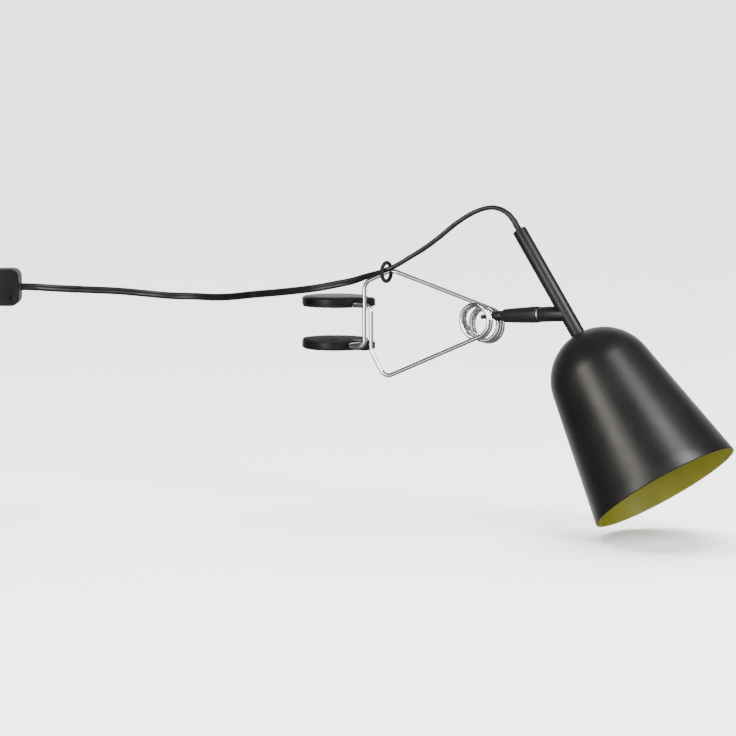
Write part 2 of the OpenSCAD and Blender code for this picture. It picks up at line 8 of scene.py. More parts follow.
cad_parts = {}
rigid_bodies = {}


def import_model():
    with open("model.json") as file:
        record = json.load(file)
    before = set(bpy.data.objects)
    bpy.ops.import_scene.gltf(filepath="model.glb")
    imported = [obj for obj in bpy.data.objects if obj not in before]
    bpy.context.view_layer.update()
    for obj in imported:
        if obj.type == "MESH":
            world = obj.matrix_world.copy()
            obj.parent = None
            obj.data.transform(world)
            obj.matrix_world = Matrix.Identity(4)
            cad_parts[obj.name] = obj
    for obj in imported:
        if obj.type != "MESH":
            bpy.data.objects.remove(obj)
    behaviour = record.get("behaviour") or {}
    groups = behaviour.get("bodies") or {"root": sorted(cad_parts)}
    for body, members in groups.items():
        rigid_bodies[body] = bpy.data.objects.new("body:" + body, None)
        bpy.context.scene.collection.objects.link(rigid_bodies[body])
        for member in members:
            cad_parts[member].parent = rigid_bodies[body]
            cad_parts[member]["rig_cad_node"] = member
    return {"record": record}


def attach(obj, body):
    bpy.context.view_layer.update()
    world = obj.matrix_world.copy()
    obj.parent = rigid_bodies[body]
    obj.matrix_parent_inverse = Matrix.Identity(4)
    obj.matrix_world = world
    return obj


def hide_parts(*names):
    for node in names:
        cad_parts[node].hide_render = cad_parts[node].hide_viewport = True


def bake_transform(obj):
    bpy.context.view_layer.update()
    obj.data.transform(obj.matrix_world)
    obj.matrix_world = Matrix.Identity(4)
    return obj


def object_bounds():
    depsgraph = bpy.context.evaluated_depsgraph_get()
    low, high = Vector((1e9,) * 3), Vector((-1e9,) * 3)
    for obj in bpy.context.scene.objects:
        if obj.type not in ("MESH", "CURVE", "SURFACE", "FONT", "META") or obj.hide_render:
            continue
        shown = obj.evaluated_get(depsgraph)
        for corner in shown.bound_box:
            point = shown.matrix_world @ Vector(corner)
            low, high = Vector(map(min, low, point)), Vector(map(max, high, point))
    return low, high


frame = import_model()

cad_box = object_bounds()


# ---- Camera ----
# Stands about two metres off, a little above the clamp, and looks at it from the near left of the
# lamp with a long lens, so that the stem leans away from it to the right.

camera_azimuth = math.radians(35)
camera_elevation = math.radians(6)
camera_distance = 2.0
aim_right = 0.0235
aim_down = 0.045
lens_mm = 135.9

look_right = Vector((math.cos(camera_azimuth), math.sin(camera_azimuth), 0))
look_along = Vector((
    -math.sin(camera_azimuth) * math.cos(camera_elevation),
    math.cos(camera_azimuth) * math.cos(camera_elevation),
    -math.sin(camera_elevation)))
look_up = look_right.cross(look_along)
aim_point = look_right * aim_right - look_up * aim_down

camera_data = bpy.data.cameras.new("camera")
camera_data.lens = lens_mm
camera_data.sensor_width = 36
camera_data.clip_start = 0.05
camera_data.clip_end = 200
camera = bpy.data.objects.new("camera", camera_data)
camera.matrix_world = (
    Matrix.Translation(aim_point - look_along * camera_distance)
    @ Matrix((look_right, look_up, -look_along)).transposed().to_4x4())
bpy.context.collection.objects.link(camera)
bpy.context.scene.camera = camera


# ---- Studio floor and lights ----
# A pale matt floor just under the shade, pale surroundings and a low soft light from behind. Two long
# soft boxes each lay a streak on the shade, and a weak low one is mirrored by the lower wire arm.

class Signal:
    """A shader node's output; sums, differences and products of it add Math nodes."""

    def __init__(self, tree, socket):
        self.tree = tree
        self.socket = socket

    def _math(self, operation, first, second):
        return self.tree.node("ShaderNodeMath", {"operation": operation}, {0: first, 1: second})

    def __add__(self, other):
        return self._math("ADD", self, other)

    def __radd__(self, other):
        return self._math("ADD", other, self)

    def __sub__(self, other):
        return self._math("SUBTRACT", self, other)

    def __rsub__(self, other):
        return self._math("SUBTRACT", other, self)

    def __mul__(self, other):
        return self._math("MULTIPLY", self, other)

    def __rmul__(self, other):
        return self._math("MULTIPLY", other, self)

    def __abs__(self):
        return self.tree.node("ShaderNodeMath", {"operation": "ABSOLUTE"}, {0: self})


class Shading:
    """Adds nodes to one shader tree, a material's or the world's."""

    def __init__(self, owner):
        owner.use_nodes = True
        self.nodes = owner.node_tree.nodes
        self.links = owner.node_tree.links

    def node(self, kind, settings=None, values=None, output=0):
        """Adds one node: its settings first, then its sockets' values or links."""
        made = self.nodes.new(kind)
        for key, value in (settings or {}).items():
            setattr(made, key, value)
        for key, value in (values or {}).items():
            self.put(made.inputs[key], value)
        return Signal(self, made.outputs[output])

    def put(self, socket, value):
        if isinstance(value, Signal):
            self.links.new(value.socket, socket)
        else:
            socket.default_value = value

    def ramp(self, signal, low, high, start=0.0, end=1.0):
        """Moves a signal from start..end onto low..high, easing in and out, and holds it there."""
        return self.node("ShaderNodeMapRange", {"interpolation_type": "SMOOTHSTEP"},
                         {0: signal, 1: start, 2: end, 3: low, 4: high})

    def fade(self, signal, start, end):
        """From 0 to 1 as a signal passes from start to end."""
        return self.ramp(signal, 0, 1, start, end)


class Finish(Shading):
    """A material on one Principled shader, with its constants set on the shader's own sockets."""

    def __init__(self, name, **constants):
        self.material = bpy.data.materials.new(name)
        super().__init__(self.material)
        self.shader = self.nodes["Principled BSDF"]
        for key, value in constants.items():
            self.shader.inputs[key.replace("_", " ")].default_value = value

    def feed(self, name, signal):
        self.put(self.shader.inputs[name], signal)

    def place(self):
        return self.node("ShaderNodeTexCoord", output="Object")

    def noise(self, size, detail=2.0):
        """Cloudy noise from 0 to 1 whose features are about that many metres across."""
        return self.node("ShaderNodeTexNoise", {"noise_dimensions": "3D"},
                         {"Vector": self.place(), "Scale": 1 / size, "Detail": detail}, "Fac")

    def grain(self, size):
        """Rounded cells from 0 to 1, as on moulded or sprayed surfaces."""
        return self.node("ShaderNodeTexVoronoi", {"feature": "SMOOTH_F1"},
                         {"Vector": self.place(), "Scale": 1 / size, "Smoothness": 0.6}, "Distance")

    def mix(self, amount, first, second):
        """A colour between two, by a signal from 0 to 1."""
        return self.node("ShaderNodeMix", {"data_type": "RGBA"}, {0: amount, 6: first, 7: second}, 2)

    def bump(self, height, depth):
        """Feeds the normal from a height of that many metres."""
        self.feed("Normal", self.node("ShaderNodeBump", None, {"Height": height, "Distance": depth}))

    def edges(self, start=0.53, end=0.6):
        """Where the surface is sharpest outwards, from 0 to 1."""
        return self.fade(self.node("ShaderNodeNewGeometry", output="Pointiness"), start, end)


def floor_finish():
    finish = Finish("floor_paper", Roughness=0.85, Specular_IOR_Level=0.2)
    cloud = finish.noise(0.6, 3)
    finish.feed("Base Color", finish.mix(cloud, (0.86, 0.86, 0.86, 1), (0.89, 0.89, 0.885, 1)))
    return finish.material


def soft_box(name, toward, width, length, watts, colour):
    """A soft box facing the lamp from that direction, its long side parallel to the shade's axis."""
    data = bpy.data.lights.new(name, "AREA")
    data.shape = "RECTANGLE"
    data.size = width
    data.size_y = length
    data.energy = watts
    data.color = colour
    light = bpy.data.objects.new(name, data)
    out = toward.normalized()
    along = (shade_slant - out * shade_slant.dot(out)).normalized()
    light.matrix_world = (
        Matrix.Translation(studio_target + out * box_distance)
        @ Matrix((along.cross(out), along, out)).transposed().to_4x4())
    bpy.context.collection.objects.link(light)


floor_gap = 0.004
floor_half = 30.0
floor_z = cad_box[0][2] - floor_gap
floor_mesh = bpy.data.meshes.new("floor")
floor_mesh.from_pydata(
    [(x * floor_half, y * floor_half, floor_z) for x, y in ((-1, -1), (1, -1), (1, 1), (-1, 1))],
    [], [(0, 1, 2, 3)])
floor_mesh.materials.append(floor_finish())
floor = bpy.data.objects.new("floor", floor_mesh)
bpy.context.collection.objects.link(floor)
floor.visible_glossy = False

shade_slant = look_right * 0.49 - look_up * 0.87
box_distance = 2.0
studio_target = Vector((0.23, 0, -0.06))
away_from_camera = Vector((look_along.x, look_along.y, 0)).normalized()
for name, right, up, nearer, width, length, watts, colour in (
        ("box_left", -0.82, 0.17, 0.80, 0.80, 1.9, 56, (1.0, 0.95, 0.88)),
        ("box_right", 0.56, 0.56, 0.66, 0.80, 1.9, 98, (0.95, 0.97, 1.0)),
        ("box_low", -0.79, -0.38, 0.47, 0.90, 1.1, 5, (1.0, 1.0, 1.0))):
    toward = look_right * right + look_up * up - look_along * nearer
    soft_box(name, toward, width, length, watts, colour)

back_strength = 11.0
back_spread = math.radians(55)
back_drop = 1.6
back_data = bpy.data.lights.new("back_light", "SUN")
back_data.energy = back_strength
back_data.angle = back_spread
back_light = bpy.data.objects.new("back_light", back_data)
back_light.rotation_euler = (
    -away_from_camera - Vector((0, 0, back_drop))).to_track_quat("-Z", "Y").to_euler()
back_light.visible_glossy = False
bpy.context.collection.objects.link(back_light)

dim_level = 0.12
dim_until = 0.6
bright_level = 1.3
bright_from = 0.97
seen_level = 2.85


def studio_world():
    """Bright beyond the lamp and behind the camera, dim to the sides; seen directly it is all pale."""
    world = bpy.data.worlds.new("studio")
    sky = Shading(world)
    direction = sky.node("ShaderNodeTexCoord", output="Generated")
    facing = sky.node("ShaderNodeVectorMath", {"operation": "DOT_PRODUCT"},
                      {0: direction, 1: away_from_camera}, "Value")
    level = sky.ramp(abs(facing), dim_level, bright_level, dim_until, bright_from)
    seen = sky.node("ShaderNodeLightPath", output="Is Camera Ray")
    strength = sky.node("ShaderNodeMix", {"data_type": "FLOAT"},
                        {"Factor": seen, "A": level, "B": seen_level})
    sky.put(sky.nodes["Background"].inputs["Strength"], strength)
    sky.put(sky.nodes["Background"].inputs["Color"], (1, 1, 1, 1))
    return world


bpy.context.scene.world = studio_world()


# ---- Mains cord from the stem to the switch ----
# Flat twin cord in a smooth black sheath with a shallow groove between its two cores. It leaves the
# stem's top, bows over, drops through the ring on the clamp, turns on edge and runs to the switch.

def mm(*values):
    """A place or direction given in millimetres, in the frame's metres."""
    return Vector(values) * 0.001


def pivot(joint_name):
    """Where the record puts that joint's axis."""
    joints = frame["record"]["behaviour"]["joints"]
    return Vector(next(j for j in joints if j["name"] == joint_name)["pos_m"])


cord_width = 0.0052
cord_thick = 0.0032
cord_groove = 0.0004
board_angle = math.radians(35)
on_board = Matrix.Rotation(board_angle, 4, "Z")

grip_rise = math.radians(4.5)
stem_lean = math.radians(34.5)
grip_along = Vector((math.cos(grip_rise), 0, math.sin(grip_rise)))
stem_along = Vector((math.sin(stem_lean), 0, -math.cos(stem_lean)))
seam_at = pivot("head_swivel")
arm_reach = 0.021
stem_above = 0.0663
tee_at = seam_at + grip_along * arm_reach
stem_top = tee_at - stem_along * stem_above


def link(name, mesh, finish):
    """A new piece with one finish, smooth but for its sharp edges."""
    made = bpy.data.objects.new(name, mesh)
    bpy.context.collection.objects.link(made)
    mesh.materials.clear()
    mesh.materials.append(finish)
    smooth(mesh)
    return made


def smooth(mesh, sharp=32):
    """Smooth shading but for the edges that turn by more degrees than that."""
    mesh.polygons.foreach_set("use_smooth", [True] * len(mesh.polygons))
    mesh.set_sharp_from_angle(angle=math.radians(sharp))
    mesh.update()


def curve_through(points, steps):
    """Smooth curve through given points, each span cut into that many steps."""
    made = []
    last = len(points) - 1
    for i in range(last):
        a = points[max(i - 1, 0)]
        b = points[i]
        c = points[i + 1]
        d = points[min(i + 2, last)]
        for k in range(steps):
            t = k / steps
            made.append(0.5 * (
                2 * b + (c - a) * t + (2 * a - 5 * b + 4 * c - d) * t ** 2
                + (3 * b - a - 3 * c + d) * t ** 3))
    made.append(points[last])
    return made


def flat_cord_section(sides=12):
    """Two round cores side by side under one sheath, as (across, up) pairs."""
    r = cord_thick / 2
    reach = cord_width / 2 - r
    section = []
    for centre, start in ((reach, -90), (-reach, 90)):
        for k in range(sides + 1):
            a = math.radians(start + 180 * k / sides)
            section.append((centre + r * math.cos(a), r * math.sin(a)))
        section.append((0, (r - cord_groove) * (1 if start < 0 else -1)))
    return section


def skinned(name, rings, looped=False):
    """Mesh through rings of points, capped at both ends or looped round, with its faces outward."""
    n = len(rings[0])
    spans = len(rings) if looped else len(rings) - 1
    faces = []
    for i in range(spans):
        j = (i + 1) % len(rings)
        for k in range(n):
            m = (k + 1) % n
            faces.append((i * n + k, j * n + k, j * n + m, i * n + m))
    if not looped:
        faces.append(tuple(range(n)))
        faces.append(tuple(spans * n + k for k in reversed(range(n))))
    mesh = bpy.data.meshes.new(name)
    mesh.from_pydata([point for ring in rings for point in ring], [], faces)
    shell = bmesh.new()
    shell.from_mesh(mesh)
    bmesh.ops.remove_doubles(shell, verts=shell.verts, dist=1e-6)
    bmesh.ops.recalc_face_normals(shell, faces=shell.faces)
    shell.to_mesh(mesh)
    shell.free()
    return mesh


def swept(points, section, up=Vector((0, 0, 1)), twists=None):
    """Tube of that section along the points, its first axis kept level but for the twists."""
    rings = []
    last = len(points) - 1
    for i, point in enumerate(points):
        along = (points[min(i + 1, last)] - points[max(i - 1, 0)]).normalized()
        across = along.cross(up).normalized()
        if twists:
            across = Matrix.Rotation(twists[i], 3, along) @ across
        raised = across.cross(along)
        rings.append([point + across * a + raised * b for a, b in section])
    return skinned("swept", rings)


def cord_finish():
    finish = Finish("cord_sheath", IOR=1.5, Specular_IOR_Level=0.3)
    dust = finish.noise(0.012, 3)
    finish.feed("Base Color", finish.mix(finish.fade(dust, 0.35, 0.75),
                                         (0.0028, 0.0028, 0.0029, 1), (0.006, 0.006, 0.006, 1)))
    finish.feed("Roughness", finish.ramp(finish.noise(0.005, 3), 0.30, 0.46, 0.3, 0.7))
    finish.bump(finish.noise(0.0012, 2) * 0.6 + finish.noise(0.006, 1) * 0.4, 0.00006)
    return finish.material


def from_board(points):
    """Places given in millimetres along the gripped edge, behind it and up, turned into the frame."""
    return [on_board @ mm(*p) for p in points]


rest_z = cord_thick / 2 * 1000
edge_z = cord_width / 2 * 1000
switch_mid_x = -258
switch_half = 31
switch_mid_y = 4
switch_mid_z = 13.25
butt_gap = 0.3
exit_gap = 0.0013
exit_at = stem_top - stem_along * exit_gap
main_points = [exit_at, exit_at - stem_along * 0.004, exit_at - stem_along * 0.008] + from_board([
    (119.4, -84.4, 70.4),
    (114, -82.6, 73.4),
    (107, -80.5, 74.2),
    (97, -77.5, 71),
    (85, -73.5, 63.4),
    (73, -69, 53.2),
    (63, -65, 45.4),
    (53, -61, 38.9),
    (42.5, -57.6, 32.4),
    (33, -53.8, 28.2),
    (23.5, -46.5, 24.8),
    (13, -39.5, 20.8),
    (0, -33.5, 17.6),
    (-14, -27.5, 14.6),
    (-29, -17, 12),
    (-44, -5, 9.6),
    (-60, 9, 7.2),
    (-76, 25, 4.4),
    (-90, 39, 2.9),
    (-104, 51, edge_z),
    (-122, 56, 2.7),
    (-140, 52, 4.6),
    (-160, 40, 7.4),
    (-180, 26, 9.4),
    (-200, 12, 11.4),
    (-214, 5.4, 12.8),
    (-221, switch_mid_y, switch_mid_z),
    (switch_mid_x + switch_half + butt_gap, switch_mid_y, switch_mid_z)])


def eased(fraction):
    """A fraction held within 0 to 1, easing in and out."""
    f = min(max(fraction, 0), 1)
    return f * f * (3 - 2 * f)


def length_of(points):
    """Length in metres of the line through the points."""
    return sum((b - a).length for a, b in zip(points, points[1:]))


sheath = cord_finish()
route_steps = 8
main_route = curve_through(main_points, route_steps)
twist_from = 12 * route_steps
twist_over = 3.5 * route_steps
main_twists = [math.pi / 2 * eased((i - twist_from) / twist_over) for i in range(len(main_route))]
main_cord = link(
    "cord_to_switch", swept(main_route, flat_cord_section(), twists=main_twists), sheath)
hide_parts("cord_main")
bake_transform(main_cord)


# ---- Mains cord from the switch to the plug ----
# The rest of the same cord: it drops from the switch and turns flat, is wound into six flat turns in
# two layers as it comes out of the box, and runs from the top layer into the plug.

spare_centre = mm(-331, 64, 0)
turn_outer = 0.0352
turn_step = 0.0052
layer_low = 0.0016
layer_high = 0.0050
turns = 6.125
turn_points = 48
tail_angle = math.radians(135)
plug_gap = 32.0
plug_z = 6.9


def spare_turn(f):
    """Point of the spare cord's winding, f from 0 at the lead to 1 at the tail."""
    layer_turn = 2.55
    wound = f * turns
    a = math.radians(180 - 360 * wound)
    inward = min(wound, turns - wound)
    r = turn_outer - turn_step * 2 * min(inward / layer_turn, 1)
    rise = eased((wound - layer_turn) / (turns - 2 * layer_turn))
    z = layer_low + (layer_high - layer_low) * rise
    return on_board @ (spare_centre + Vector((r * math.cos(a), r * math.sin(a), z)))


lead_from = switch_mid_x - switch_half - butt_gap
lead_points = from_board([
    (lead_from, switch_mid_y, switch_mid_z),
    (lead_from - 6, switch_mid_y, 12.9),
    (lead_from - 13, 4.6, 11),
    (lead_from - 22, 7, 7.4),
    (lead_from - 34, 11, 3.6),
    (lead_from - 48, 19, 1.8),
    (lead_from - 61, 30, rest_z),
    (lead_from - 70.5, 42, rest_z),
    (lead_from - 75.6, 54, rest_z)])
winding = [spare_turn(k / (turn_points * turns)) for k in range(int(turn_points * turns) + 1)]
tail_at = spare_centre + Vector((math.cos(tail_angle), math.sin(tail_angle), 0)) * turn_outer
tail_along = Vector((math.cos(tail_angle - math.pi / 2), math.sin(tail_angle - math.pi / 2), 0))


def tail_point(distance, z):
    """Point that many millimetres along the cord's straight tail, at that height."""
    return on_board @ (tail_at + tail_along * distance * 0.001 + Vector((0, 0, z * 0.001)))


tail_points = [
    tail_point(8, 5.0),
    tail_point(18, 5.6),
    tail_point(plug_gap - 6, plug_z - 0.2),
    tail_point(plug_gap, plug_z)]
end_steps = 6
lead_route = curve_through(lead_points + [winding[0]], end_steps)[:-1]
tail_route = curve_through([winding[-1]] + tail_points, end_steps)[1:]
spare_route = lead_route + winding + tail_route
lead_twist_over = 4.5 * end_steps
spare_twists = [math.pi / 2 * (1 - eased(i / lead_twist_over)) for i in range(len(spare_route))]
spare_cord = link(
    "cord_to_plug", swept(spare_route, flat_cord_section(), twists=spare_twists), sheath)
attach(spare_cord, "clamp")
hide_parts("cord_lead", "cord_spare_coil", "cord_tail")


# ---- Spring wire of the clamp ----
# One length of 3 mm spring steel, chromed: it is bent through both pads' lugs, crosses over in front
# of the jaw and is wound into a coil whose turns part in the middle round the grip's bolt.

wire_radius = 0.0015
wire_sides = 28
coil_centre = pivot("jaw_open")
coil_radius = 11.7
coil_lean = 0.22
coil_far = 11.2
coil_pitch = 3.1
coil_parting = 6.24
parting_from = 900
parting_over = 100
coil_turns = 4.38
coil_start = 68
coil_steps = 316
upper_wire_y = -20
lower_wire_y = -16
pin_x = 26
pin_end_y = 7
top_pin_z = pivot("upper_pad_tilt").z * 1000
low_pin_z = pivot("lower_pad_tilt").z * 1000


def wire_tree():
    """Sweeps a round wire along an edge line: Curve to Mesh with capped ends."""
    tree = bpy.data.node_groups.new("round_wire", "GeometryNodeTree")
    face = tree.interface
    face.new_socket("Line", in_out="INPUT", socket_type="NodeSocketGeometry")
    face.new_socket("Wire Radius", in_out="INPUT", socket_type="NodeSocketFloat")
    face.new_socket("Sides", in_out="INPUT", socket_type="NodeSocketInt")
    face.new_socket("Finish", in_out="INPUT", socket_type="NodeSocketMaterial")
    face.new_socket("Wire", in_out="OUTPUT", socket_type="NodeSocketGeometry")
    into = tree.nodes.new("NodeGroupInput")
    out = tree.nodes.new("NodeGroupOutput")
    to_curve = tree.nodes.new("GeometryNodeMeshToCurve")
    profile = tree.nodes.new("GeometryNodeCurvePrimitiveCircle")
    to_mesh = tree.nodes.new("GeometryNodeCurveToMesh")
    realize = tree.nodes.new("GeometryNodeRealizeInstances")
    paint = tree.nodes.new("GeometryNodeSetMaterial")
    to_mesh.inputs["Fill Caps"].default_value = True
    for source, target in (
            (into.outputs["Line"], to_curve.inputs[0]),
            (into.outputs["Wire Radius"], profile.inputs["Radius"]),
            (into.outputs["Sides"], profile.inputs["Resolution"]),
            (to_curve.outputs[0], to_mesh.inputs["Curve"]),
            (profile.outputs[0], to_mesh.inputs["Profile Curve"]),
            (to_mesh.outputs[0], realize.inputs[0]),
            (realize.outputs[0], paint.inputs["Geometry"]),
            (into.outputs["Finish"], paint.inputs["Material"]),
            (paint.outputs[0], out.inputs[0])):
        tree.links.new(source, target)
    return tree


def grown(name, base_mesh, tree, values):
    """Runs a geometry tree on a base mesh and returns the result as a plain mesh."""
    carrier = bpy.data.objects.new(name + "_base", base_mesh)
    bpy.context.collection.objects.link(carrier)
    modifier = carrier.modifiers.new("tree", "NODES")
    modifier.node_group = tree
    for item in tree.interface.items_tree:
        if item.in_out == "INPUT" and item.name in values:
            modifier[item.identifier] = values[item.name]
    bpy.context.view_layer.update()
    evaluated = carrier.evaluated_get(bpy.context.evaluated_depsgraph_get())
    mesh = bpy.data.meshes.new_from_object(evaluated)
    carrier.modifiers.remove(modifier)
    bpy.data.objects.remove(carrier)
    return mesh


def edge_line(points):
    """A mesh that is one open line of edges through the points."""
    mesh = bpy.data.meshes.new("line")
    mesh.from_pydata(points, [(i, i + 1) for i in range(len(points) - 1)], [])
    return mesh


def bent(points, radii, step=7):
    """The points with each inner corner rounded to its radius."""
    made = [points[0]]
    for i in range(1, len(points) - 1):
        into = (points[i] - points[i - 1]).normalized()
        away = (points[i + 1] - points[i]).normalized()
        turn = into.angle(away)
        radius = radii[i - 1]
        start = points[i] - into * radius * math.tan(turn / 2)
        axis = into.cross(away).normalized()
        centre = start + axis.cross(into) * radius
        count = max(2, round(math.degrees(turn) / step))
        for k in range(count + 1):
            made.append(centre + Matrix.Rotation(turn * k / count, 3, axis) @ (start - centre))
    made.append(points[-1])
    return made


def chrome_finish():
    finish = Finish("chromed_wire", Metallic=1.0, Specular_IOR_Level=0.5)
    film = finish.noise(0.009, 3)
    finish.feed("Base Color", finish.mix(film, (0.72, 0.725, 0.735, 1), (0.84, 0.84, 0.85, 1)))
    scuffs = finish.fade(finish.noise(0.0016, 4), 0.52, 0.72)
    finish.feed("Roughness", 0.07 + finish.ramp(film, 0, 0.07) + scuffs * 0.07)
    finish.bump(finish.noise(0.0008, 3), 0.000012)
    return finish.material


def coil_place(degrees, y):
    """Point of the coil at that angle and that many millimetres along its axis, leaning with it."""
    a = math.radians(degrees)
    return coil_centre + mm(coil_radius * math.cos(a), y, coil_radius * math.sin(a) - coil_lean * y)


def coil_y(wound):
    """Place along the coil's axis after winding that many degrees from the far end."""
    parted = coil_parting * eased((wound - parting_from) / parting_over)
    return coil_far - coil_pitch * wound / 360 - parted


sweep = 360 * coil_turns
coil_points = [
    coil_place(coil_start - wound, coil_y(wound))
    for wound in (sweep * k / coil_steps for k in range(coil_steps + 1))]
upper_arm_points = bent([
    coil_points[0],
    mm(63, upper_wire_y, 29.3),
    mm(39.5, upper_wire_y, 19.5),
    mm(39.5, upper_wire_y, low_pin_z),
    mm(pin_x, upper_wire_y, low_pin_z),
    mm(pin_x, pin_end_y, low_pin_z)], [0.010, 0.008, 0.004, 0.004])
lower_arm_points = bent([
    coil_points[-1],
    mm(54.4, lower_wire_y, -47.4),
    mm(42.5, lower_wire_y, -29),
    mm(42.5, lower_wire_y, top_pin_z),
    mm(pin_x, lower_wire_y, top_pin_z),
    mm(pin_x, pin_end_y, top_pin_z)], [0.007, 0.012, 0.004, 0.004])

chrome = chrome_finish()
wires = wire_tree()
for name, points, node in (
        ("wire_upper_arm", upper_arm_points, "upper_arm"),
        ("wire_coil", coil_points, "spring_coil"),
        ("wire_lower_arm", lower_arm_points, "lower_arm")):
    mesh = grown(name, edge_line(points), wires,
                 {"Wire Radius": wire_radius, "Sides": wire_sides, "Finish": chrome})
    wire = link(name, mesh, chrome)
    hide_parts(node)
    if node == "upper_arm":
        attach(wire, "clamp")
    elif node == "lower_arm":
        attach(wire, "jaw_arm")
    else:
        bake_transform(wire)


# ---- Pads, facings and pin caps ----
# Each pad is a round black moulding with a lug that turns on the wire, a ribbed rubber facing glued
# to its gripping side, and a push-on cap that keeps the wire's end in the lug.

merge_within = 2e-6
facet_angle = math.radians(0.6)
broken_angle = math.radians(38)
smooth_under = 40


def finished_copy(node, finish, bevel, segments=2):
    """A CAD node's shape with its facets merged and its edges broken, standing for the node."""
    source = next(o for o in bpy.data.objects if o.get("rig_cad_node") == node)
    shell = bmesh.new()
    shell.from_mesh(source.data)
    bmesh.ops.remove_doubles(shell, verts=shell.verts, dist=merge_within)
    bmesh.ops.dissolve_limit(shell, angle_limit=facet_angle, verts=shell.verts, edges=shell.edges)
    mesh = bpy.data.meshes.new(node + "_finished")
    shell.to_mesh(mesh)
    shell.free()
    made = link(node + "_finished", mesh, finish)
    edge = made.modifiers.new("edge", "BEVEL")
    edge.width = bevel
    edge.segments = segments
    edge.limit_method = "ANGLE"
    edge.angle_limit = broken_angle
    bpy.context.view_layer.update()
    evaluated = made.evaluated_get(bpy.context.evaluated_depsgraph_get())
    made.data = bpy.data.meshes.new_from_object(evaluated)
    made.modifiers.clear()
    smooth(made.data, smooth_under)
    body = next(b for b, nodes in frame["record"]["behaviour"]["bodies"].items() if node in nodes)
    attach(made, body)
    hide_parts(node)
    return made


def tinted(colour, factor=1.0, lift=0.0):
    """That colour times a factor and raised by a lift, as a socket's four values."""
    return tuple(c * factor + lift for c in colour) + (1,)


def moulded_finish(name, colour, rough, grain=0.0005):
    finish = Finish(name, IOR=1.48, Specular_IOR_Level=0.14)
    shade = finish.fade(finish.noise(0.02, 3), 0.3, 0.7)
    body = finish.mix(shade, tinted(colour, 0.72), tinted(colour, 1.3))
    worn = tinted(colour, 2.2, 0.004)
    finish.feed("Base Color", finish.mix(finish.edges() * 0.45, body, worn))
    finish.feed("Roughness", finish.ramp(finish.noise(0.007, 3), rough - 0.02, rough + 0.03, 0.3, 0.7))
    finish.bump(finish.grain(grain) + finish.noise(0.004, 2) * 0.6, 0.000012)
    return finish.material


def rubber_finish(name, colour):
    finish = Finish(name, IOR=1.46, Specular_IOR_Level=0.3)
    bloom = finish.fade(finish.noise(0.006, 4), 0.4, 0.7)
    finish.feed("Base Color", finish.mix(bloom * 0.6, tinted(colour), tinted(colour, 1.9)))
    finish.feed("Roughness", finish.ramp(finish.noise(0.003, 2), 0.6, 0.8, 0.3, 0.7))
    finish.bump(finish.noise(0.0009, 4), 0.00006)
    return finish.material


pad_black = moulded_finish("pad_moulding", (0.0035, 0.0035, 0.0037), 0.36)
rubber = rubber_finish("soft_rubber", (0.0045, 0.0045, 0.0045))
for node in ("upper_pad", "lower_pad"):
    finished_copy(node, pad_black, 0.0005, segments=3)
for node in ("upper_pad_facing", "lower_pad_facing"):
    finished_copy(node, rubber, 0.0002)
for node in ("pin_cap_upper", "pin_cap_lower"):
    finished_copy(node, rubber, 0.0004, segments=3)


# ---- Ring that guides the cord ----
# A plain soft rubber ring threaded on the upper wire. The cord passes through it on its way down, and
# it keeps the cord beside the wire when the head is turned.

ring_at = mm(60.8, -23.3, 28)
ring_mean = 0.0065
ring_thick = 0.0014
ring_turn = math.radians(4)
ring_steps = 72
ring_sides = 20
ring_axis = Matrix.Rotation(ring_turn, 3, "Z") @ Vector((1, 0, 0))


def turned(name, outline, at, along, side, steps):
    """Turns a closed outline of (radius, along) pairs about an axis, starting at that side."""
    across = along.cross(side).normalized()
    rings = []
    for i in range(steps):
        a = math.tau * i / steps
        out = side * math.cos(a) + across * math.sin(a)
        rings.append([at + out * r + along * z for r, z in outline])
    return skinned(name, rings, looped=True)


ring_outline = [
    (ring_mean + ring_thick * math.cos(a), ring_thick * math.sin(a))
    for a in (math.tau * k / ring_sides for k in range(ring_sides))]
ring_side = Vector((0, 0, 1)).cross(ring_axis).normalized()
ring_mesh = turned("ring", ring_outline, ring_at, ring_axis, ring_side, ring_steps)
ring = link("guide_ring", ring_mesh, rubber)
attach(ring, "clamp")
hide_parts("cord_ring")


# ---- Bolt, shoe, grip and swivel ----
# The T-shaped bolt holds the coil against a hollowed shoe and screws into the grip, a turned bar in
# black powder coat. A bright washer shows at the seam where the head turns on its pin.

def coated_finish(name, colour):
    finish = Finish(name, IOR=1.5, Specular_IOR_Level=0.27)
    tone = finish.fade(finish.noise(0.03, 2), 0.35, 0.65)
    body = finish.mix(tone, tinted(colour, 0.8), tinted(colour, 1.2))
    finish.feed("Base Color", finish.mix(finish.edges(0.55, 0.66) * 0.3, body, (0.04, 0.04, 0.041, 1)))
    peel = finish.noise(0.0016, 2)
    finish.feed("Roughness", finish.ramp(finish.noise(0.012, 3), 0.36, 0.46, 0.3, 0.7))
    finish.bump(peel * 0.7 + finish.noise(0.0005, 2) * 0.3, 0.00004)
    return finish.material


def steel_finish(name, colour=(0.62, 0.63, 0.65), rough=0.28):
    finish = Finish(name, Metallic=1.0)
    film = finish.noise(0.004, 4)
    finish.feed("Base Color", finish.mix(film, tinted(colour, 0.8), tinted(colour)))
    finish.feed("Roughness", finish.ramp(finish.noise(0.002, 3), rough - 0.03, rough + 0.05, 0.3, 0.7))
    finish.bump(finish.noise(0.0006, 3), 0.000006)
    return finish.material


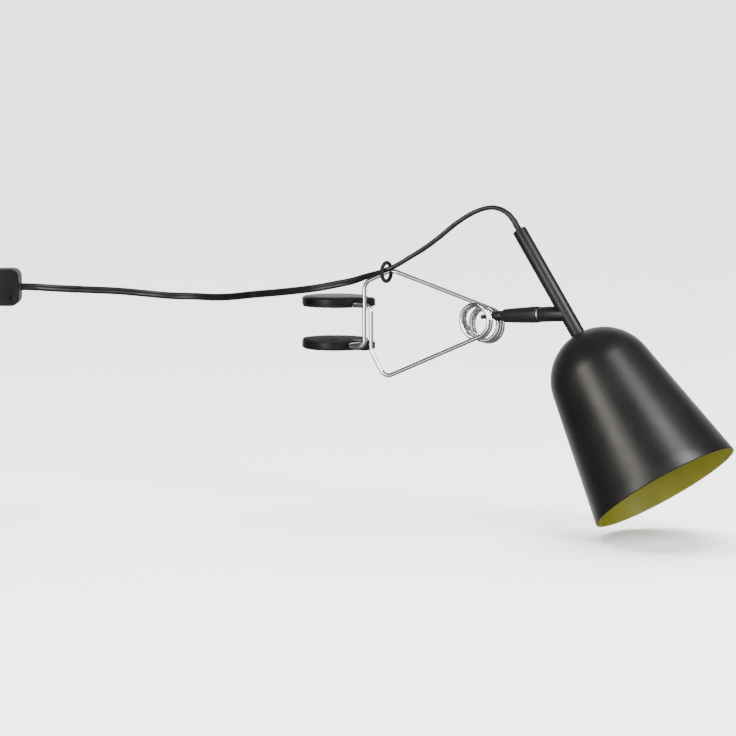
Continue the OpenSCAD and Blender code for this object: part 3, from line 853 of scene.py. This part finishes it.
coat = coated_finish("black_powder_coat", (0.006, 0.006, 0.0062))
steel = steel_finish("zinc_steel")
for node in ("coil_bolt", "coil_shoe"):
    finished_copy(node, coat, 0.0002)
finished_copy("grip", coat, 0.0003, segments=3)
finished_copy("swivel_pin", steel, 0.0002)
finished_copy("spring_washer", steel, 0.0001)
finished_copy("seam_washer", steel_finish("seam_steel", (0.7, 0.7, 0.7), 0.3), 0.0001)


# ---- Cross arm, stem and bush ----
# Steel tube stem with the cross arm welded against it at sixty degrees, coated together, and a nylon
# bush pressed into the stem's top where the cord comes out.

for node in ("cross_arm", "stem_tube"):
    finished_copy(node, coat, 0.0003)
nylon = moulded_finish("black_nylon", (0.009, 0.009, 0.0095), 0.45, 0.0007)
finished_copy("stem_bush", nylon, 0.00015)
finished_copy("inner_cord", sheath, 0.0003)


# ---- Shade ----
# Spun aluminium: a round dome runs smoothly into a straight flaring skirt with a turned edge. Satin
# black outside, olive green lacquer inside.

shade_across = 0.105
shade_length = 0.1207
dome_radius = 0.0362
sheet_thick = 0.0012
apex_past_tee = 0.0167
hole_radius = 0.00505
dome_steps = 28
skirt_steps = 10
rim_steps = 6
shade_steps = 160
apex_at = tee_at + stem_along * apex_past_tee
shade_side = Vector((0, 1, 0)).cross(stem_along).normalized()
half_mouth = shade_across / 2
skirt_drop = shade_length - dome_radius
flare = (math.pi / 2 - math.atan2(skirt_drop, half_mouth)
         - math.asin(dome_radius / math.hypot(half_mouth, skirt_drop)))


def shade_line(inset):
    """Half outline as (radius, along) from the hole to the rim, set in by that much."""
    r = dome_radius - inset
    first = math.asin(hole_radius / r)
    last = math.pi / 2 - flare
    line = []
    for k in range(dome_steps + 1):
        a = first + (last - first) * k / dome_steps
        line.append((r * math.sin(a), dome_radius - r * math.cos(a)))
    start = line[-1]
    end = (half_mouth - inset / math.cos(flare), shade_length - sheet_thick / 2)
    for k in range(1, skirt_steps + 1):
        f = k / skirt_steps
        line.append((start[0] + (end[0] - start[0]) * f, start[1] + (end[1] - start[1]) * f))
    return line


def shade_outside_finish():
    finish = Finish("shade_black", IOR=1.5, Specular_IOR_Level=0.3)
    tone = finish.fade(finish.noise(0.05, 2), 0.35, 0.65)
    body = finish.mix(tone, (0.0035, 0.0035, 0.0036, 1), (0.0055, 0.0054, 0.0052, 1))
    specks = finish.fade(finish.noise(0.0011, 2), 0.70, 0.80)
    finish.feed("Base Color", finish.mix(specks * 0.25, body, (0.05, 0.05, 0.05, 1)))
    finish.feed("Roughness", finish.ramp(finish.noise(0.02, 3), 0.33, 0.38, 0.3, 0.7))
    finish.bump(finish.noise(0.0012, 2) * 0.75 + finish.noise(0.0004, 2) * 0.25, 0.00003)
    return finish.material


def shade_inside_finish():
    finish = Finish("shade_olive", IOR=1.45, Specular_IOR_Level=0.25)
    tone = finish.fade(finish.noise(0.03, 3), 0.3, 0.7)
    finish.feed("Base Color", finish.mix(tone, (0.122, 0.118, 0.007, 1), (0.150, 0.145, 0.009, 1)))
    finish.feed("Roughness", finish.ramp(finish.noise(0.01, 3), 0.5, 0.62, 0.3, 0.7))
    finish.bump(finish.noise(0.0012, 2), 0.00003)
    return finish.material


shade_outer = shade_line(0)
shade_inner = shade_line(sheet_thick)
rim_out = Vector(shade_outer[-1])
rim_in = Vector(shade_inner[-1])
rim_mid = (rim_out + rim_in) / 2
rim_half = (rim_out - rim_in).length / 2
rim = [(rim_mid.x + rim_half * math.cos(a), rim_mid.y + rim_half * math.sin(a))
       for a in (math.pi * k / rim_steps for k in range(1, rim_steps))]
shade_outline = shade_outer + rim + shade_inner[::-1]
shade_mesh = turned("shade_shell", shade_outline, apex_at, stem_along, shade_side, shade_steps)
shade = link("shade_shell", shade_mesh, shade_outside_finish())
shade_mesh.materials.append(shade_inside_finish())
for face in shade_mesh.polygons:
    spot = face.center - apex_at
    middle = stem_along * max(spot.dot(stem_along), dome_radius)
    faces_inward = face.normal.dot(spot - middle) < 0
    face.material_index = 1 if faces_inward else 0
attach(shade, "head")
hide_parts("shade")


# ---- Nut, washer and lampholder ----
# The shade is clamped under the lampholder's cap on the stem's thread by a flat washer and a thin
# hexagon nut. The holder is moulded in black plastic with a brass sleeve, contacts and terminals.

brass = steel_finish("brass", (0.72, 0.55, 0.26), 0.3)
for node in ("shade_washer", "shade_nut", "terminal_screws"):
    finished_copy(node, steel, 0.00025)
holder_black = moulded_finish("holder_plastic", (0.01, 0.01, 0.01), 0.42, 0.0006)
for node in ("holder_cap", "holder_body"):
    finished_copy(node, holder_black, 0.0004)
for node in ("holder_thread", "holder_contacts"):
    finished_copy(node, brass, 0.00015)


# ---- Bulb ----
# Small screw-cap bulb, well up inside the shade: a rolled aluminium cap, a white heat-sink collar and a
# round opal globe.

def bulb_cap_finish():
    finish = Finish("bulb_cap", Metallic=1.0)
    finish.feed("Base Color", finish.mix(finish.noise(0.004, 3), (0.6, 0.6, 0.6, 1), (0.78, 0.78, 0.77, 1)))
    finish.feed("Roughness", finish.ramp(finish.noise(0.003, 3), 0.22, 0.42, 0.3, 0.7))
    finish.bump(finish.noise(0.0008, 2), 0.00002)
    return finish.material


def collar_finish():
    finish = Finish("bulb_collar", IOR=1.5)
    finish.feed("Base Color", finish.mix(finish.noise(0.01, 2), (0.78, 0.78, 0.76, 1), (0.84, 0.84, 0.82, 1)))
    finish.feed("Roughness", finish.ramp(finish.noise(0.004, 2), 0.32, 0.42))
    finish.bump(finish.grain(0.0007), 0.00001)
    return finish.material


def opal_finish():
    finish = Finish("bulb_opal", IOR=1.49, Subsurface_Weight=0.35, Subsurface_Radius=(0.01, 0.01, 0.009))
    finish.feed("Base Color", finish.mix(finish.noise(0.02, 2), (0.86, 0.85, 0.81, 1), (0.9, 0.89, 0.86, 1)))
    finish.feed("Roughness", finish.ramp(finish.noise(0.01, 2), 0.18, 0.26))
    finish.bump(finish.noise(0.006, 1), 0.00002)
    return finish.material


finished_copy("bulb_base", bulb_cap_finish(), 0.0002)
finished_copy("bulb_collar", collar_finish(), 0.0005, segments=3)
finished_copy("bulb_globe", opal_finish(), 0.0005)


# ---- In-line switch ----
# Two moulded half shells, standing on edge and screwed together with blackened screws. The near one
# holds the rocker, and brass contacts sit between them.

switch_black = moulded_finish("switch_plastic", (0.003, 0.003, 0.0031), 0.42, 0.0006)
blackened = steel_finish("blackened_screw", (0.02, 0.02, 0.021), 0.4)
switch_pieces = [
    finished_copy("switch_base", switch_black, 0.0016, segments=5),
    finished_copy("switch_cover", switch_black, 0.0016, segments=5),
    finished_copy("switch_rocker", switch_black, 0.0005, segments=3),
    finished_copy("switch_contacts", brass, 0.0002),
    finished_copy("switch_screws", blackened, 0.0002)]
round(length_of(main_route), 3)


# ---- Plug ----
# Flat two-pin plug moulded on the cord's end: it swells from a round neck to a rounded block, and its
# two pins are nickel plated.

plug_at = tail_point(plug_gap + butt_gap, plug_z)
plug_along = on_board @ tail_along
plug_across = Vector((0, 0, 1)).cross(plug_along)
plug_sides = 48
# Each section is (distance from the neck, half width, half height) in millimetres.
plug_sections = (
    (0.0, 3.4, 4.4), (0.3, 3.9, 5.0), (1.0, 4.2, 5.3), (8.0, 5.0, 5.8), (10.5, 6.2, 6.2), (13.5, 9.4, 6.6),
    (16.5, 13.0, 6.8), (19.5, 15.8, 6.9), (22.5, 17.2, 6.9), (26.0, 17.6, 6.9), (34.8, 17.6, 6.9),
    (35.6, 17.3, 6.6), (36.0, 16.7, 6.0))


def squared(value):
    """Pushes a circle's sine or cosine out towards a square with round corners."""
    return math.copysign(abs(value) ** 0.5, value)


def plug_ring(distance, half_width, half_height):
    """The points round one section of the body."""
    angles = [math.tau * k / plug_sides for k in range(plug_sides)]
    return [
        plug_at + plug_along * distance * 0.001
        + plug_across * half_width * 0.001 * squared(math.cos(a))
        + Vector((0, 0, half_height * 0.001 * squared(math.sin(a)))) for a in angles]


plug_mesh = skinned("plug", [plug_ring(*section) for section in plug_sections])
plug = link("plug_moulding", plug_mesh, switch_black)
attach(plug, "clamp")
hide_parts("plug_body")
nickel = steel_finish("nickel", (0.76, 0.74, 0.68), 0.22)
plug_pins = finished_copy("plug_pins", nickel, 0.0006, segments=3)


# ---- Strap round the spare cord ----
# A woven strap folded over the winding where the outer turn lies furthest in, with both its ends down
# on the surface that the coil rests on.

strap_radii = (21.6, 36.4)
strap_height = 7.05
strap_half_width = 2.5
strap_half_thick = 0.35
strap_foot = 0.1
strap_bend = 0.0018
strap_ribs = 900.0


def strap_finish():
    finish = Finish("tie_strap", Specular_IOR_Level=0.2, IOR=1.45)
    ribs = finish.node("ShaderNodeTexWave", {"wave_type": "BANDS", "bands_direction": "DIAGONAL"},
                       {"Vector": finish.place(), "Scale": strap_ribs, "Distortion": 1.0}, "Fac")
    finish.feed("Base Color", finish.mix(ribs, (0.008, 0.008, 0.009, 1), (0.022, 0.022, 0.023, 1)))
    finish.feed("Roughness", finish.ramp(finish.noise(0.002, 2), 0.75, 0.9))
    finish.bump(ribs, 0.0001)
    return finish.material


def strap_point(radius, height):
    """Point of the strap's fold, in millimetres from the winding's middle."""
    return on_board @ (spare_centre + mm(radius, 0, height))


strap_path = bent([
    strap_point(strap_radii[0], strap_foot),
    strap_point(strap_radii[0], strap_height),
    strap_point(strap_radii[1], strap_height),
    strap_point(strap_radii[1], strap_foot)], [strap_bend, strap_bend])
strap_section = [
    (x * strap_half_thick * 0.001, y * strap_half_width * 0.001)
    for x, y in ((-1, -1), (1, -1), (1, 1), (-1, 1))]
strap_mesh = swept(strap_path, strap_section, on_board @ Vector((0, 1, 0)))
strap = link("strap", strap_mesh, strap_finish())
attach(strap, "clamp")
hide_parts("cord_tie")
round(length_of(spare_route), 3)
